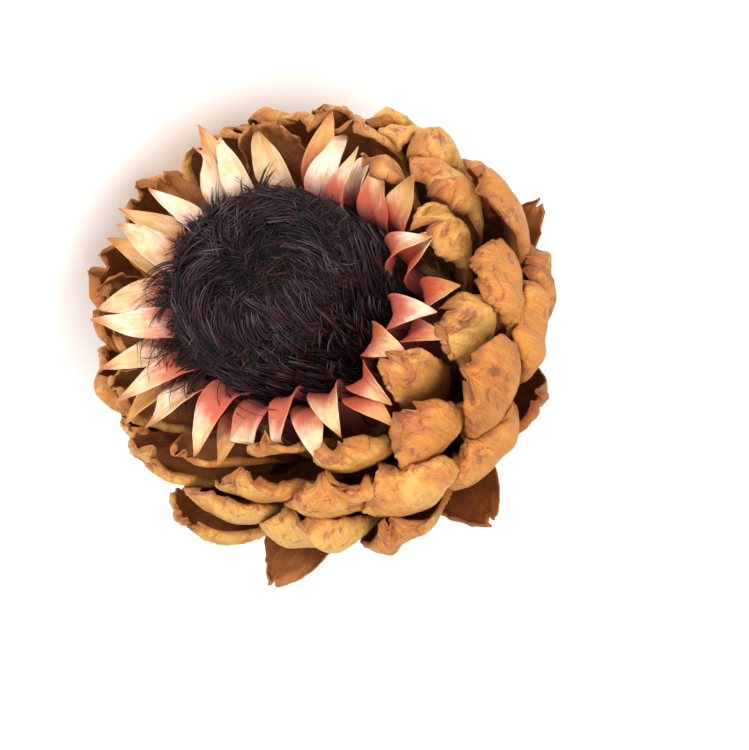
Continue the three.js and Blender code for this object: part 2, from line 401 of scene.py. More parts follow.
@dataclass(frozen=True)
class OuterBractFinish:
    """Leathery outer bracts: ochre outside, with redder margins, stains and veins, and brown inside, that
    brown partly their own colour and partly painted shade.
    """

    ochre: str = "#dd9142"
    gold: str = "#ecb25c"
    olive: str = "#b98b42"
    rust: str = "#b9562a"
    aged: str = "#b26328"
    stain: str = "#7d4638"
    speck: str = "#5a3422"
    edge: str = "#8c4a22"
    pink: str = "#c2605a"
    # inside and inside_light: the inner faces' brown, partly their own colour and partly painted shade of the
    # cupped faces.
    inside: str = "#9c5a2c"
    inside_light: str = "#b8733a"

    def material(self) -> bpy.types.Material:
        """Builds the material.

        Returns:
            The material.
        """
        graph = Graph("outer_bract")
        at = graph.read("blade_at", vector=True)
        rim, along, inside = graph.read("rim"), graph.read("along"), graph.read("inside")
        tint, blush, age = graph.read("tint"), graph.read("blush"), graph.read("age")
        clouds = graph.noise(at, 0.1, 5.0, 0.6)
        patches = graph.noise(graph.stretch(at, (1.0, 0.5, 1.0)), 0.2, 6.0, 0.62, 0.6)
        veins = graph.noise(graph.stretch(at, (1.0, 0.08, 1.0)), 1.3, 5.0, 0.6, 0.3)
        grain = graph.noise(at, 2.2, 4.0, 0.65)
        wear = graph.noise(graph.stretch(at, (0.7, 1.0, 1.0)), 0.32, 6.0, 0.7, 0.8)

        golden = (clouds + (tint - 0.5) * 0.9).rise(0.3, 0.9)
        skin = graph.mix(colour(self.ochre), colour(self.gold), golden)
        skin = graph.mix(skin, colour(self.olive), (1 - along.rise(0.15, 0.7)) * 0.7)
        skin = graph.mix(skin, colour(self.aged), (age * 0.9 + patches * 0.5 - 0.2).rise(0.25, 1.05))
        rosy = (patches * 0.9 + rim * 0.35).rise(0.6, 1.15)
        skin = graph.mix(skin, colour(self.pink), blush * rosy * 0.6)
        skin = graph.mix(skin, colour(self.rust), (rim * 0.8 + wear * 0.45).rise(0.85, 1.25) * 0.7)
        skin = graph.mix(skin, colour(self.stain), (wear + patches * 0.35).rise(0.85, 1.15) * 0.6)
        skin = graph.mix(skin, colour(self.speck), grain.rise(0.8, 0.97) * 0.5)
        skin = graph.mix(skin, colour(self.edge), graph.read("edge") * 0.7)
        # The lining is darkest at the foot and lighter towards the tip: painted shade of the cupped inner
        # faces, on top of their own brown.
        paler = (along * 0.7 + patches * 0.5).rise(0.55, 1.15)
        lining_with_painted_shade = graph.mix(colour(self.inside), colour(self.inside_light), paler)
        base = graph.mix(skin, lining_with_painted_shade, inside)
        base = graph.shade(base, 0.72 + veins * 0.2 + grain * 0.2 + clouds * 0.08)

        height = veins * 0.5 + grain * 0.45 + wear * 0.45
        return graph.surface(
            {
                "Base Color": base,
                "Roughness": 0.52 + grain * 0.14,
                "Normal": graph.bump(height, 0.7, 0.0008),
                "Specular IOR Level": 0.4,
            }
        )


@dataclass(frozen=True)
class InnerBractFinish:
    """Papery inner bracts: cream blades with orange tips, brown veins and a red base, and redder on one side
    of the flower as a painted shadow of the tuft.
    """

    cream: str = "#dfbc8a"
    pale: str = "#efd9c0"
    straw: str = "#cb9350"
    tip: str = "#a8622c"
    # red: the bracts' own red base, and the painted shadow on one side of the flower.
    red: str = "#c24a35"
    plum: str = "#7a3f45"
    vein: str = "#a06c3e"

    def material(self) -> bpy.types.Material:
        """Builds the material.

        Returns:
            The material.
        """
        graph = Graph("inner_bract")
        at = graph.read("blade_at", vector=True)
        rim, along = graph.read("rim"), graph.read("along")
        tint, blush, age = graph.read("tint"), graph.read("blush"), graph.read("age")
        clouds = graph.noise(at, 0.2, 4.0, 0.6)
        veins = graph.noise(graph.stretch(at, (1.0, 0.05, 1.0)), 1.9, 5.0, 0.62, 0.3)
        patches = graph.noise(graph.stretch(at, (1.0, 0.4, 1.0)), 0.3, 5.0, 0.6, 0.5)

        paler = (clouds * 0.6 + tint * 0.6).rise(0.35, 0.85)
        skin = graph.mix(colour(self.cream), colour(self.pale), paler)
        dried = (age * 0.9 + patches * 0.35 + rim * 0.25 - 0.25).rise(0.2, 0.9)
        skin = graph.mix(skin, colour(self.straw), dried)
        # Blush is partly each bract's own tint and partly painted shadow: the bracts on one side of the
        # flower are painted redder, where the tuft shades them.
        reddened_and_shaded = (blush + patches * 0.4 - along.rise(0.6, 0.97) * 1.1).rise(-0.05, 0.8)
        skin = graph.mix(skin, colour(self.red), reddened_and_shaded * 0.9)
        skin = graph.mix(skin, colour(self.plum), (1 - along.rise(0.56, 0.7)) * 0.75)
        skin = graph.mix(skin, colour(self.vein), veins.rise(0.6, 0.95) * 0.4)
        skin = graph.mix(skin, colour(self.tip), (along + patches * 0.06).rise(0.91, 1.03) * 0.8)
        return graph.surface(
            {
                "Base Color": skin,
                "Roughness": 0.5 + clouds * 0.12,
                "Normal": graph.bump(veins + patches * 0.4, 0.5, 0.0004),
                "Specular IOR Level": 0.4,
                "Subsurface Weight": 0.1,
                "Subsurface Radius": (0.004, 0.002, 0.001),
                "Subsurface Scale": 0.5,
            }
        )


@dataclass(frozen=True)
class FibreFinish:
    """Dried florets: dark fibres, browner at the base and greyer towards the tip, that grey partly their own
    and partly a painted sheen.
    """

    name: str
    dark: str
    light: str
    tip: str
    gloss_roughness: float = 0.45

    def material(self) -> bpy.types.Material:
        """Builds the material.

        Returns:
            The material.
        """
        graph = Graph(self.name)
        tint = graph.read("tint")
        along = graph.read("along")
        base = graph.mix(colour(self.dark), colour(self.light), tint.rise(0.1, 0.9))
        # Lighter strands take the tip colour near their ends: partly the florets' own grey and partly a
        # painted sheen.
        base = graph.mix(base, colour(self.tip), (along * 0.7 + tint * 0.7).rise(0.8, 1.4))
        return graph.surface(
            {
                "Base Color": base,
                "Roughness": self.gloss_roughness + tint * 0.15,
                "Specular IOR Level": 0.25,
            }
        )


@dataclass(frozen=True)
class StemFinish:
    """The dry stem and receptacle: tan and grey-brown, with dark furrows along the ribs."""

    name: str
    tan: str
    brown: str
    furrow: str

    def material(self) -> bpy.types.Material:
        """Builds the material.

        Returns:
            The material.
        """
        graph = Graph(self.name)
        at = graph.read("blade_at", vector=True)
        ridge = graph.read("rim")
        streaks = graph.noise(graph.stretch(at, (1.0, 0.05, 1.0)), 1.2, 6.0, 0.65, 0.2)
        blotch = graph.noise(graph.stretch(at, (1.0, 0.25, 1.0)), 0.16, 5.0, 0.6)
        grain = graph.noise(at, 2.4, 4.0, 0.6)
        skin = graph.mix(colour(self.tan), colour(self.brown), blotch.rise(0.1, 0.95))
        furrowed = (1 - ridge) * 0.45 + streaks.rise(0.55, 0.9) * 0.35
        skin = graph.mix(skin, colour(self.furrow), furrowed)
        return graph.surface(
            {
                "Base Color": skin,
                "Roughness": 0.7 + grain * 0.2,
                "Normal": graph.bump(streaks + grain * 0.4, 0.7, 0.0006),
                "Specular IOR Level": 0.3,
            }
        )


@dataclass(frozen=True)
class FloorFinish:
    """The pale floor, with faint clouds."""

    darker: tuple[float, float, float, float] = (0.93, 0.93, 0.93, 1)
    lighter: tuple[float, float, float, float] = (0.96, 0.96, 0.96, 1)

    def material(self) -> bpy.types.Material:
        """Builds the material.

        Returns:
            The material.
        """
        graph = Graph("floor")
        at = graph.node("ShaderNodeTexCoord", {}, {}, "Object")
        base = graph.mix(self.darker, self.lighter, graph.noise(at, 3.0))
        return graph.surface({"Base Color": base, "Roughness": 0.8, "Specular IOR Level": 0.2})


# -------------------------------------------------------------------------------------------------- the pose


@dataclass(frozen=True)
class Pose:
    """How the flower lies: turned about its axis, then tipped over to rest on bracts and stem."""

    lean_deg: float = 21.354
    turn_deg: float = 1.926

    def turning(self) -> Matrix:
        """The rotation from the flower's frame to the table's."""
        tip = Matrix.Rotation(math.radians(90 - self.lean_deg), 4, "X")
        return tip @ Matrix.Rotation(math.radians(self.turn_deg), 4, "Z")

    def matrix(self) -> Matrix:
        """The whole placement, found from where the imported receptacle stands.

        Returns:
            The matrix from millimetres in the flower's frame to metres on the table.
        """
        turning = self.turning()
        receptacle = bpy.data.objects["receptacle"].data.vertices
        back = np.array([turning.inverted() @ v.co for v in receptacle])
        low, high = back.min(0), back.max(0)
        middle = Vector((*(low + high)[:2] / 2, low[2]))
        return Matrix.Translation(turning @ middle) @ turning @ Matrix.Scale(MM, 4)


@dataclass
class Table:
    """Turns finished arrays into Blender objects that ride on the frame."""

    matrix: Matrix

    def place(self, points: Array) -> Array:
        """Moves points from the flower's frame to the table, and keeps them out of it.

        Args:
            points: Points in the flower's frame.

        Returns:
            The points on the table, one to a row.
        """
        m = np.array(self.matrix)
        placed = points.reshape(-1, 3) @ m[:3, :3].T + m[:3, 3]
        placed[:, 2] = np.maximum(placed[:, 2], FLOOR_CLEARANCE)
        return placed

    def piece(
        self,
        name: str,
        points: Array,
        faces: Array | Faces,
        traits: dict[str, Array],
        material: bpy.types.Material,
        nodes: Iterable[str] = (),
    ) -> bpy.types.Object:
        """Makes one object.

        Args:
            name: Its name.
            points: Its vertices in the flower's frame.
            faces: Its polygons.
            traits: Point attributes, numbers or vectors.
            material: Its material.
            nodes: The CAD nodes that it replaces.

        Returns:
            The object.
        """
        mesh = bpy.data.meshes.new(name)
        mesh.from_pydata(self.place(points).tolist(), [], [list(f) for f in faces])
        mesh.polygons.foreach_set("use_smooth", np.ones(len(mesh.polygons), bool))
        for key, values in traits.items():
            vector = values.ndim > 1
            made = mesh.attributes.new(key, "FLOAT_VECTOR" if vector else "FLOAT", "POINT")
            made.data.foreach_set("vector" if vector else "value", values.astype(np.float32).ravel())
        mesh.materials.append(material)
        mesh.update()
        made = bpy.data.objects.new(name, mesh)
        bpy.context.scene.collection.objects.link(made)
        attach(made, "root")
        if nodes:
            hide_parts(*nodes)
        LOG.info("%s: %d polygons", name, len(mesh.polygons))
        return made


# ------------------------------------------------------------------------------------------------ the bracts


@dataclass(frozen=True)
class RankedCurve:
    """One midrib of the family: its rank, and a cubic Bezier of (r, z) points."""

    rank: float
    points: tuple[tuple[float, float], ...]


@dataclass(frozen=True)
class RankedBlade:
    """Blade width, and how far margin and tip roll inwards, at one rank."""

    rank: float
    width: float
    roll: float
    curl: float


@dataclass(frozen=True)
class Traits:
    """Everything that tells one bract from the next."""

    index: int
    rank: float
    inner: bool
    azimuth: float
    width: float
    length: float
    roll: float
    curl: float
    twist: float
    sway: float
    thickness: float


@dataclass(frozen=True)
class Crowding:
    """How far the bracts of the closed side push the tuft, and the bracts next to it, off the axis."""

    distance: float = 5.6
    azimuth: float = math.radians(310)
    low: float = 36.0
    height: float = 26.0
    last_rank: float = 0.95

    def moved(self, points: Array, rank: float) -> Array:
        """Moves points aside.

        Args:
            points: Points in the flower's frame, with their coordinates on the last axis.
            rank: The rank of what they belong to.

        Returns:
            The moved points.
        """
        free = smoothstep((points[..., 2:] - self.low) / self.height)
        share = (1 - smoothstep(rank / self.last_rank)) * free
        aside = self.distance * np.array([math.cos(self.azimuth), math.sin(self.azimuth), 0.0])
        return points + share * aside


@dataclass
class BractFamily:
    """The spiral of all the bracts, from the innermost (rank 0) to the outermost (rank 1)."""

    inner_count: int = 34
    outer_count: int = 54
    first_azimuth: float = -1.5
    flare: float = 0.6
    flare_azimuth: float = math.pi / 2
    closed_azimuth: float = math.radians(130)
    pressed_azimuth: float = math.radians(140)
    inner_thickness: float = 0.5
    outer_thickness: float = 0.95
    midribs: tuple[RankedCurve, ...] = (
        RankedCurve(0.0, ((29.8, 30.5), (26.6, 54), (20.0, 68.0), (47.5, 65.0))),
        RankedCurve(0.38, ((34.2, 23.0), (31.2, 46), (26.5, 64.0), (53.5, 61.5))),
        RankedCurve(0.4, ((34.8, 22.0), (36.0, 37), (38.0, 56), (52.0, 61.5))),
        RankedCurve(0.55, ((33.2, 17.0), (44.0, 25), (52.0, 44), (61.5, 59.5))),
        RankedCurve(0.68, ((30.0, 11.5), (46.5, 17), (60.0, 34), (66.5, 56.5))),
        RankedCurve(0.8, ((25.0, 6.4), (45.5, 9), (63.0, 21), (67.5, 46.0))),
        RankedCurve(0.9, ((19.0, 2.8), (40.0, 2), (60.0, 8), (67.5, 31.0))),
        RankedCurve(1.0, ((12.5, 0.6), (29.0, -4), (47.0, -2), (62.0, 12.0))),
    )
    blades: tuple[RankedBlade, ...] = (
        RankedBlade(0.0, 9.0, 0.5, 0.0),
        RankedBlade(0.38, 11.2, 0.6, 0.0),
        RankedBlade(0.4, 16, 2.4, 0.7),
        RankedBlade(0.52, 25, 1.8, 0.8),
        RankedBlade(0.7, 34, 1.4, 0.8),
        RankedBlade(0.85, 35, 1.1, 0.6),
        RankedBlade(1.0, 26, 0.6, 0.1),
    )

    @property
    def golden_angle(self) -> float:
        """The turn from each bract to the next."""
        return math.pi * (3 - math.sqrt(5))

    @staticmethod
    def _between(table: Sequence[Any], rank: float) -> tuple[Any, Any, float]:
        """Finds a rank's place in a table.

        Args:
            table: Entries in order of rank.
            rank: The rank to find.

        Returns:
            The entries on either side of it, and the share of the second.
        """
        k = next((i for i in range(1, len(table)) if table[i].rank >= rank), len(table) - 1)
        low, high = table[k - 1], table[k]
        return low, high, (rank - low.rank) / (high.rank - low.rank)

    def bezier(self, rank: float) -> Array:
        """The four control points of the midrib at a rank."""
        low, high, share = self._between(self.midribs, rank)
        return np.array(low.points) * (1 - share) + np.array(high.points) * share

    def traits(self, index: int) -> Traits:
        """Works out the traits of one bract.

        Args:
            index: The bract, counted from the innermost.

        Returns:
            Its traits.
        """
        rank = index / (self.inner_count + self.outer_count - 1)
        inner = index < self.inner_count
        low, high, share = self._between(self.blades, rank)
        width = low.width * (1 - share) + high.width * share
        roll = low.roll * (1 - share) + high.roll * share
        curl = low.curl * (1 - share) + high.curl * share
        azimuth = self.first_azimuth + index * self.golden_angle
        azimuth += 0.09 * (chance(index, Trait.AZIMUTH) - 0.5)
        if inner:
            azimuth += 0.2 * (chance(index, Trait.SCATTER) - 0.5)
        upper = smoothstep(0.6 + 0.75 * math.cos(azimuth - self.flare_azimuth))
        closed = smoothstep(0.5 + 0.6 * math.cos(azimuth - self.closed_azimuth))
        pressed = 0.4 * smoothstep(0.15 + 0.9 * math.cos(azimuth - self.pressed_azimuth))
        shorter = 0.18 * closed if inner else 0.0
        flare = self.flare * upper * smoothstep((rank - 0.8) / 0.16)
        return Traits(
            index=index,
            rank=rank,
            inner=inner,
            azimuth=azimuth,
            width=width * (0.9 + 0.2 * chance(index, Trait.WIDTH)),
            length=0.95 + 0.1 * chance(index, Trait.LENGTH) - shorter,
            roll=roll * (0.6 + 0.8 * chance(index, Trait.ROLL)),
            curl=curl * (0.7 + 0.6 * chance(index, Trait.CURL)) * (0.6 + 1.1 * closed)
            - flare
            + (pressed if inner else 0.0),
            twist=(1.1 if inner else 0.24) * (chance(index, Trait.TWIST) - 0.5),
            sway=9.0 * (chance(index, Trait.SWAY) - 0.5) if inner else 0.0,
            thickness=self.inner_thickness if inner else self.outer_thickness,
        )


@dataclass
class Blade:
    """One bract's blade, first as a loose grid of its middle surface, and then as a finished shell."""

    traits: Traits
    bezier: Array
    rows: int = 24
    columns: int = 18
    flat_cup: float = 1 / 34
    deep_cup: float = 1 / 18
    grid: Array = field(default_factory=lambda: np.zeros((0, 0, 3)))

    def __post_init__(self) -> None:
        """Lays out the middle surface."""
        self.grid = self._middle()

    @property
    def leathery(self) -> float:
        """1 on an outer bract, whose margins wave, and 0 on a papery inner one."""
        return 0.0 if self.traits.inner else 1.0

    def _midrib(self, u: Array) -> tuple[Array, float]:
        """Follows the midrib before the blade curls.

        Args:
            u: Evenly spaced places along it, from 0 to 1.

        Returns:
            Its lean from the flower's axis at those places, and its length.
        """
        t = np.linspace(0, 1, 400)[:, None]
        a, b, c, d = self.bezier
        curve = (1 - t) ** 3 * a + 3 * (1 - t) ** 2 * t * b + 3 * (1 - t) * t**2 * c + t**3 * d
        steps = np.linalg.norm(np.diff(curve, axis=0), axis=1)
        reach = np.concatenate([[0], np.cumsum(steps)])
        tangent = np.gradient(curve, axis=0)
        lean = np.unwrap(np.arctan2(tangent[:, 0], tangent[:, 1]))
        return np.interp(u, reach / reach[-1], lean), float(reach[-1])

    def _share(self, u: Array) -> Array:
        """The outline's half width.

        Args:
            u: Places along the blade, from 0 to 1.

        Returns:
            Half the width there, as a share of the widest half.
        """
        inner = self.traits.inner
        pointed = inner or self.traits.rank > 0.86
        widest, base, tip = (0.7, 0.62, 0.03) if inner else (0.64, 0.42, 0.12 if pointed else 0.26)
        rise = base + (1 - base) * np.sin(math.pi / 2 * np.minimum(u / widest, 1))
        x = np.clip((u - widest) / (1 - widest), 0, 1)
        fall = tip + (1 - tip) * (1 - x**1.35 if pointed else np.sqrt(1 - x**2.6))
        return np.where(u < widest, rise, fall)

    def _middle(self) -> Array:
        """Lays out the middle surface.

        Returns:
            Its points in the flower's frame, in rows and columns.
        """
        t = self.traits
        u = np.linspace(0, 1, self.rows + 1)[:, None]
        v = np.linspace(-1, 1, self.columns + 1)[None, :]
        angle, r, z = self._lengthwise(u, v)
        half = self._share(u) * t.width / 2
        wavy = self.leathery * ripple(u, t.index + Phase.MARGIN, [(1.7, 0.03), (4.1, 0.025)])
        half = half * (1 + wavy * np.sign(v))
        x, y = self._across(self._turned(u, v, half), half)

        radial = np.array([math.cos(t.azimuth), math.sin(t.azimuth), 0.0])
        sideways = np.array([-radial[1], radial[0], 0.0])
        axial = np.array([0.0, 0.0, 1.0])
        facing = -radial * np.cos(angle)[..., None] + axial * np.sin(angle)[..., None]
        turned = t.twist * u
        across = sideways * np.cos(turned)[..., None] + facing * np.sin(turned)[..., None]
        inward = facing * np.cos(turned)[..., None] - sideways * np.sin(turned)[..., None]
        centre = radial * r[..., None] + axial * z[..., None]
        aside = x + t.sway * smoothstep((u - 0.55) / 0.45) ** 2
        points = centre + across * aside[..., None] + inward * y[..., None]
        return Crowding().moved(points, t.rank)

    def _lengthwise(self, u: Array, v: Array) -> tuple[Array, Array, Array]:
        """Walks each column from the blade's foot to its tip.

        Args:
            u: Places along the blade, as a column.
            v: Places across the blade, as a row.

        Returns:
            The lean from the flower's axis at each place, and the place's r and z.
        """
        t, wave = self.traits, self.leathery
        seed = t.index
        lean, length = self._midrib(u[:, 0])
        onset = 0.42 + 0.13 * wave + wave * ripple(v, seed + Phase.ONSET, [(0.55, 0.05), (1.15, 0.03)])
        bend = smoothstep((u - onset) / (1 - onset))
        uneven = 1 + 0.15 * wave * ripple(v, seed + Phase.CURL, [(0.7, 1.0)])
        outermost = float(smoothstep((t.rank - 0.82) / 0.1))
        fold = wave * (0.2 + 1.1 * chance(seed, Trait.FOLD)) * (1 - 0.8 * outermost)
        lift = (1 - wave) * (1.3 * chance(seed, Trait.FOLD) - 0.45)
        angle = lean[:, None] - t.curl * bend * uneven
        angle = angle - fold * smoothstep((u - 0.88) / 0.12) - lift * smoothstep((u - 0.7) / 0.3)
        notch = wave * (0.01 + 0.04 * chance(seed, Trait.NOTCH)) * np.exp(-((v / 0.25) ** 2))
        ragged = wave * ripple(v, seed + Phase.TIP, [(1.1, 0.01), (2.2, 0.006)])
        step = length * t.length * (1 - notch + ragged) / self.rows
        middle = 0.5 * (angle[1:] + angle[:-1])
        foot = np.zeros_like(v)
        r = self.bezier[0, 0] + np.concatenate([foot, np.cumsum(np.sin(middle) * step, axis=0)])
        z = self.bezier[0, 1] + np.concatenate([foot, np.cumsum(np.cos(middle) * step, axis=0)])
        return angle, r, z

    def _turned(self, u: Array, v: Array, half: Array) -> Array:
        """How far the blade's section has turned inwards.

        Args:
            u: Places along the blade, as a column.
            v: Places across the blade, as a row.
            half: Half the blade's width, at each place.

        Returns:
            The turn at each place: nothing at the midrib, and most at the margins.
        """
        t, wave = self.traits, self.leathery
        seed = t.index
        deeper = (self.deep_cup - self.flat_cup) * smoothstep((u - 0.2) / 0.6)
        cup = self.flat_cup if t.inner else self.flat_cup + deeper
        uneven = 0.6 * (chance(seed, Trait.SIDE) - 0.5)
        side = np.where(v < 0, 1 + uneven, 1 - uneven)
        seam = u + 3 * np.sign(v)
        start = 0.7 + wave * ripple(seam, seed + Phase.ROLL_START, [(1.2, 0.05), (2.7, 0.03)])
        roll = t.roll * side * smoothstep((u - 0.3) / 0.4)
        seam = u + 5 * np.sign(v)
        roll = roll * (1 + 0.22 * wave * ripple(seam, seed + Phase.ROLL, [(1.5, 0.6), (2.9, 0.4)]))
        crease = (1 - wave) * (0.1 + 0.4 * chance(seed, Trait.CREASE)) * smoothstep(np.abs(v) / 0.12)
        rolled = roll * smoothstep((np.abs(v) - start) / (1 - start))
        return crease + cup * np.abs(v) * half + rolled

    def _across(self, turn: Array, half: Array) -> tuple[Array, Array]:
        """Walks from the midrib to both margins, turning on the way.

        Args:
            turn: How far the blade has turned inwards, at each place.
            half: Half the blade's width, at each place.

        Returns:
            How far each place is to the side, and how far inwards.
        """
        mid = self.columns // 2
        x, y = np.zeros_like(turn), np.zeros_like(turn)
        for way in (-1, 1):
            for k in range(1, mid + 1):
                now, before = mid + way * k, mid + way * (k - 1)
                angle = 0.5 * (turn[:, now] + turn[:, before])
                x[:, now] = x[:, before] + way * np.cos(angle) * half[:, now] / mid
                y[:, now] = y[:, before] + np.sin(angle) * half[:, now] / mid
        return x, y

    def body(self) -> Body:
        """The blade without its rolled margins and tip, to push others off.

        Returns:
            The search tree, and each of its faces' outward normals.
        """
        rows = slice(1, int(self.rows * 0.84) + 1)
        cut = int(self.columns * 0.16)
        part = self.grid[rows, cut : self.columns + 1 - cut]
        height, width = part.shape[:2]
        corners = [i * width + j for i in range(height - 1) for j in range(width - 1)]
        faces = [(a, a + 1, a + width + 1, a + width) for a in corners]
        normals = grid_normals(part)
        normals = 0.25 * (normals[:-1, :-1] + normals[1:, :-1] + normals[:-1, 1:] + normals[1:, 1:])
        return BVHTree.FromPolygons(part.reshape(-1, 3).tolist(), faces), normals.reshape(-1, 3)

    def shell(self, fine_rows: int, fine_columns: int) -> tuple[Array, Array, dict[str, Array]]:
        """The finished blade: smoothed, wrinkled and given its thickness.

        Args:
            fine_rows: Rows of the finished grid.
            fine_columns: Columns of the finished grid.

        Returns:
            Its vertices, faces and point attributes.
        """
        t = self.traits
        fine = catmull_rom(self.grid, fine_rows + 1)
        fine = np.swapaxes(catmull_rom(np.swapaxes(fine, 0, 1), fine_columns + 1), 0, 1)
        u = np.broadcast_to(np.linspace(0, 1, fine_rows + 1)[:, None], fine.shape[:2])
        v = np.broadcast_to(np.linspace(-1, 1, fine_columns + 1)[None, :], fine.shape[:2])
        half = self._share(u) * t.width / 2
        flat = np.stack([v * half, u * 55 * t.length, np.full(u.shape, 37.0 * t.index)], axis=2)
        normals = grid_normals(fine)
        fine = fine + normals * self._wrinkles(flat, u, v)[..., None]
        normals = grid_normals(fine)
        edge = np.maximum(np.abs(v) ** 3, smoothstep((u - 0.86) / 0.14))
        reach = normals * (t.thickness * (1 - 0.6 * edge))[..., None] / 2
        points = np.concatenate([(fine + reach).reshape(-1, 3), (fine - reach).reshape(-1, 3)])
        count = u.size
        rim = np.maximum(np.abs(v) ** 2, smoothstep((u - 0.55) / 0.45))
        border = np.maximum(smoothstep((np.abs(v) - 0.84) / 0.16), smoothstep((u - 0.94) / 0.06))
        traits = {
            "blade_at": np.tile(flat.reshape(count, 3), (2, 1)),
            "along": np.tile(u.ravel(), 2),
            "rim": np.tile(rim.ravel(), 2),
            "edge": np.tile(border.ravel(), 2),
            "inside": np.concatenate([np.zeros(count), np.ones(count)]),
            "tint": np.full(2 * count, chance(t.index, Trait.TINT)),
        }
        return points, self._faces(*u.shape), traits

    def _wrinkles(self, flat: Array, u: Array, v: Array) -> Array:
        """How far each place of the blade is raised by its wrinkles.

        Args:
            flat: Where each place is on the flattened blade.
            u: How far along the blade it is.
            v: How far across the blade it is.

        Returns:
            Its height above the smooth blade.
        """
        inner = self.traits.inner
        deep = 0.24 if inner else 0.26
        broad = [noise.noise(Vector((a * 0.2, b * 0.11, c))) for a, b, c in flat.reshape(-1, 3)]
        fine = [noise.noise(Vector((a * 0.75, b * 0.3, c + 9))) for a, b, c in flat.reshape(-1, 3)]
        heights = (np.array(broad) + 0.55 * np.array(fine)).reshape(u.shape)
        edge = np.maximum(smoothstep((np.abs(v) - 0.55) / 0.45), smoothstep((u - 0.7) / 0.3))
        run = flat[..., 1] + 1.4 * flat[..., 0]
        lobes = np.sin(run * 0.72 + 9 * np.sign(v)) + 0.6 * np.sin(run * 1.31 + 4)
        lobed = 0.0 if inner else 0.42 * (0.4 + chance(self.traits.index, Trait.LOBES))
        return (heights * deep * (0.7 + edge) + lobes * lobed * edge) * smoothstep(u / 0.15)

    @staticmethod
    def _faces(height: int, width: int) -> Array:
        """Joins two grids into one closed shell.

        Args:
            height: Rows of each grid.
            width: Columns of each grid.

        Returns:
            The quads of both grids and of the strip round their edge.
        """
        i, j = np.meshgrid(np.arange(height - 1), np.arange(width - 1), indexing="ij")
        a = (i * width + j).ravel()
        b, c, d = a + 1, a + width + 1, a + width
        other = height * width
        outer = np.stack([a, b, c, d], axis=1)
        inner = np.stack([a, d, c, b], axis=1) + other
        bottom = np.arange(width)
        right = np.arange(1, height) * width + width - 1
        top = (height - 1) * width + np.arange(width - 2, -1, -1)
        left = np.arange(height - 2, 0, -1) * width
        ring = np.concatenate([bottom, right, top, left])
        after = np.roll(ring, -1)
        sides = np.stack([ring, ring + other, after + other, after], axis=1)
        return np.concatenate([outer, inner, sides])


@dataclass
class Packing:
    """Settles the blades against one another, as bracts that grew pressed together are."""

    blades: list[Blade]
    clearance: float = 0.9
    reach: float = 8.0
    rounds: int = 3
    widest_gap: float = 0.85
    longest_gap: int = 42
    beside: float = 2.5
    blurs: int = 3

    def settle(self) -> None:
        """Moves each blade off those outside it, and each rolled margin off those inside it."""
        count = len(self.blades)
        bodies: dict[int, Body] = {}
        for k in reversed(range(count)):
            outside = [bodies[j] for j in range(k + 1, count) if self._near(k, j)]
            everywhere = np.ones(self.blades[k].grid.shape[:2])
            for _ in range(self.rounds):
                self._push(self.blades[k], outside, -1.0, everywhere)
            bodies[k] = self.blades[k].body()
        for k in range(count):
            inside = [bodies[j] for j in range(k) if self._near(k, j)]
            self._push(self.blades[k], inside, 1.0, self._rim(self.blades[k]))

    def _near(self, k: int, j: int) -> bool:
        """Whether two blades stand close enough round the flower to touch.

        Args:
            k: The first blade's place in the spiral.
            j: The second blade's place in the spiral.

        Returns:
            Whether they do.
        """
        apart = self.blades[k].traits.azimuth - self.blades[j].traits.azimuth
        close = abs((apart + math.pi) % (2 * math.pi) - math.pi) < self.widest_gap
        return close and abs(k - j) <= self.longest_gap

    @staticmethod
    def _rim(blade: Blade) -> Array:
        """Tells a blade's rolled margins and tip from its body.

        Args:
            blade: The blade.

        Returns:
            1 at its margins and tip, and 0 on its body.
        """
        u = np.linspace(0, 1, blade.rows + 1)[:, None]
        v = np.linspace(-1, 1, blade.columns + 1)[None, :]
        return np.maximum(smoothstep((np.abs(v) - 0.4) / 0.25), smoothstep((u - 0.7) / 0.15))

    def _push(self, blade: Blade, bodies: list[Body], way: float, share: Array) -> None:
        """Moves a blade's points to the wanted side of other blades.

        Args:
            blade: The blade that moves.
            bodies: Search trees and normals of the blades that it moves off.
            way: 1 to end outside them, and -1 inside.
            share: How much of the move each point takes.
        """
        points = blade.grid.reshape(-1, 3)
        moves = np.zeros_like(points)
        for n, p in enumerate(points.tolist()):
            if share.flat[n] < 0.01:
                continue
            best = 0.0
            for tree, normals in bodies:
                q, _, face, distance = tree.find_nearest(p, self.reach)
                if q is None:
                    continue
                normal = normals[face]
                side = sum((p[i] - q[i]) * normal[i] for i in range(3))
                needed = self.clearance - way * side
                aside = distance * distance - side * side
                if needed > best and aside < self.beside:
                    best = needed
                    moves[n] = normal * (way * needed)
        moves = moves.reshape(blade.grid.shape)
        wanted = np.linalg.norm(moves, axis=2, keepdims=True)
        smooth = moves
        for _ in range(self.blurs):
            smooth = self._blurred(smooth)
        moves = np.where(wanted > 0, 0.5 * moves + 0.5 * smooth, smooth)
        blade.grid = blade.grid + moves * share[..., None]

    @staticmethod
    def _blurred(values: Array) -> Array:
        """Each place's mean with its neighbours.

        Args:
            values: A grid of vectors.

        Returns:
            The blurred grid.
        """
        padded = np.pad(values, ((1, 1), (1, 1), (0, 0)), mode="edge")
        around = padded[:-2, 1:-1] + padded[2:, 1:-1] + padded[1:-1, :-2] + padded[1:-1, 2:]
        return 0.4 * values + 0.15 * around


